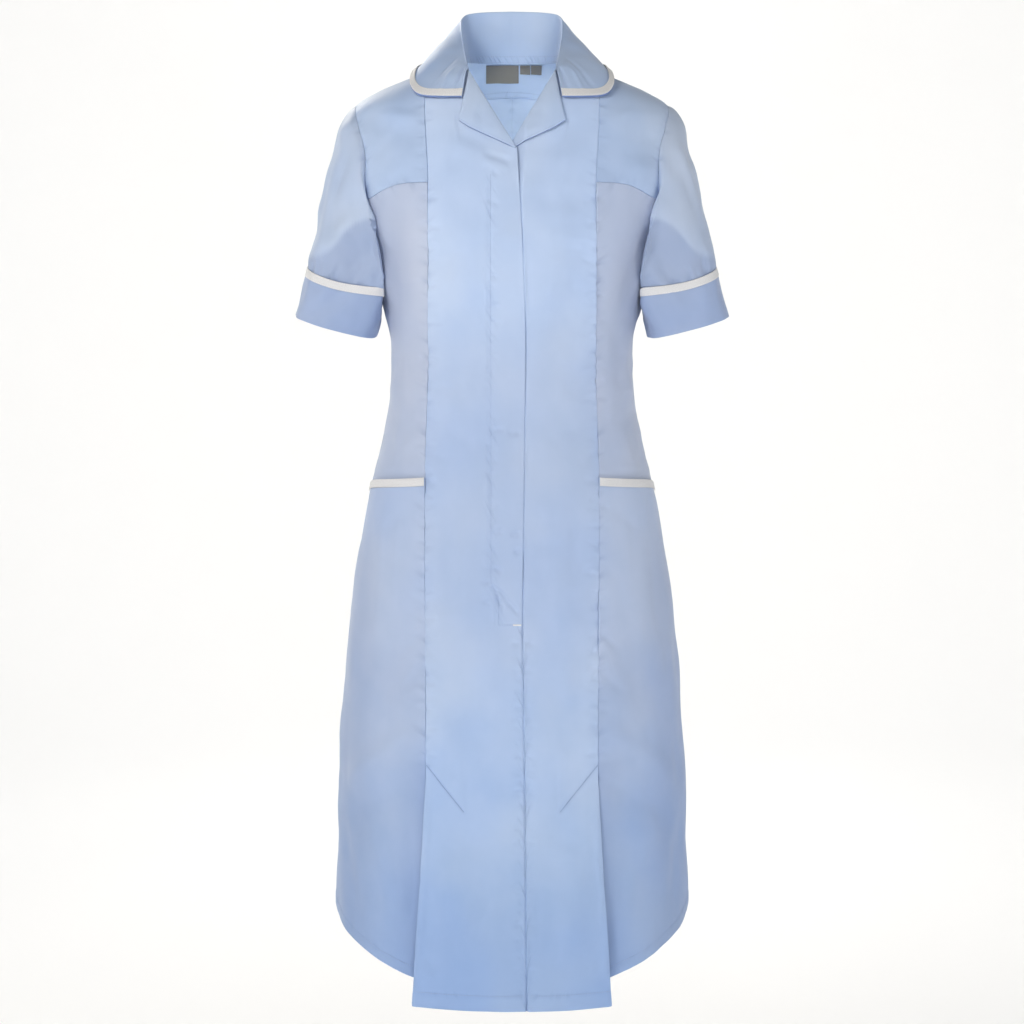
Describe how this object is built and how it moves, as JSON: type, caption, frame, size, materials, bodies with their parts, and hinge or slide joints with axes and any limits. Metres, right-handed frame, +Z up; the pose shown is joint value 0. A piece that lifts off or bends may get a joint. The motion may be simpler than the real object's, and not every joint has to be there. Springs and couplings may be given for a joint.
{
  "type": "nurse uniform dress",
  "caption": "Short-sleeved knee-length uniform dress with a collar, lapels, a fly front, princess seams, side pockets and kick pleats, hollow as worn.",
  "frame": {"origin": "centre of the neck at the height where the shoulder seams meet the collar", "axes": "+Z up along the dress, the front faces -Y, the wearer's right is at -X"},
  "size_m": [0.474, 0.3252, 1.0766],
  "materials": {
    "blue_cloth": "soft satin",
    "white_tape": "matt",
    "grey_label": "satin"
  },
  "bodies": {
    "root": {"back_left": "blue_cloth", "back_right": "blue_cloth", "back_yoke": "blue_cloth", "collar": "blue_cloth", "cuff_left": "blue_cloth", "cuff_right": "blue_cloth", "front_left": "blue_cloth", "front_right": "blue_cloth", "lapel_left": "blue_cloth", "lapel_right": "blue_cloth", "pleat_left": "blue_cloth", "pleat_right": "blue_cloth", "side_front_left": "blue_cloth", "side_front_right": "blue_cloth", "skirt_side_left": "blue_cloth", "skirt_side_right": "blue_cloth", "sleeve_left": "blue_cloth", "sleeve_right": "blue_cloth", "yoke_front_left": "blue_cloth", "yoke_front_right": "blue_cloth", "collar_tape": "white_tape", "cuff_tape_left": "white_tape", "cuff_tape_right": "white_tape", "pocket_tape_left": "white_tape", "pocket_tape_right": "white_tape", "label_fit": "grey_label", "label_main": "grey_label", "label_size": "grey_label"}
  },
  "joints": []
}
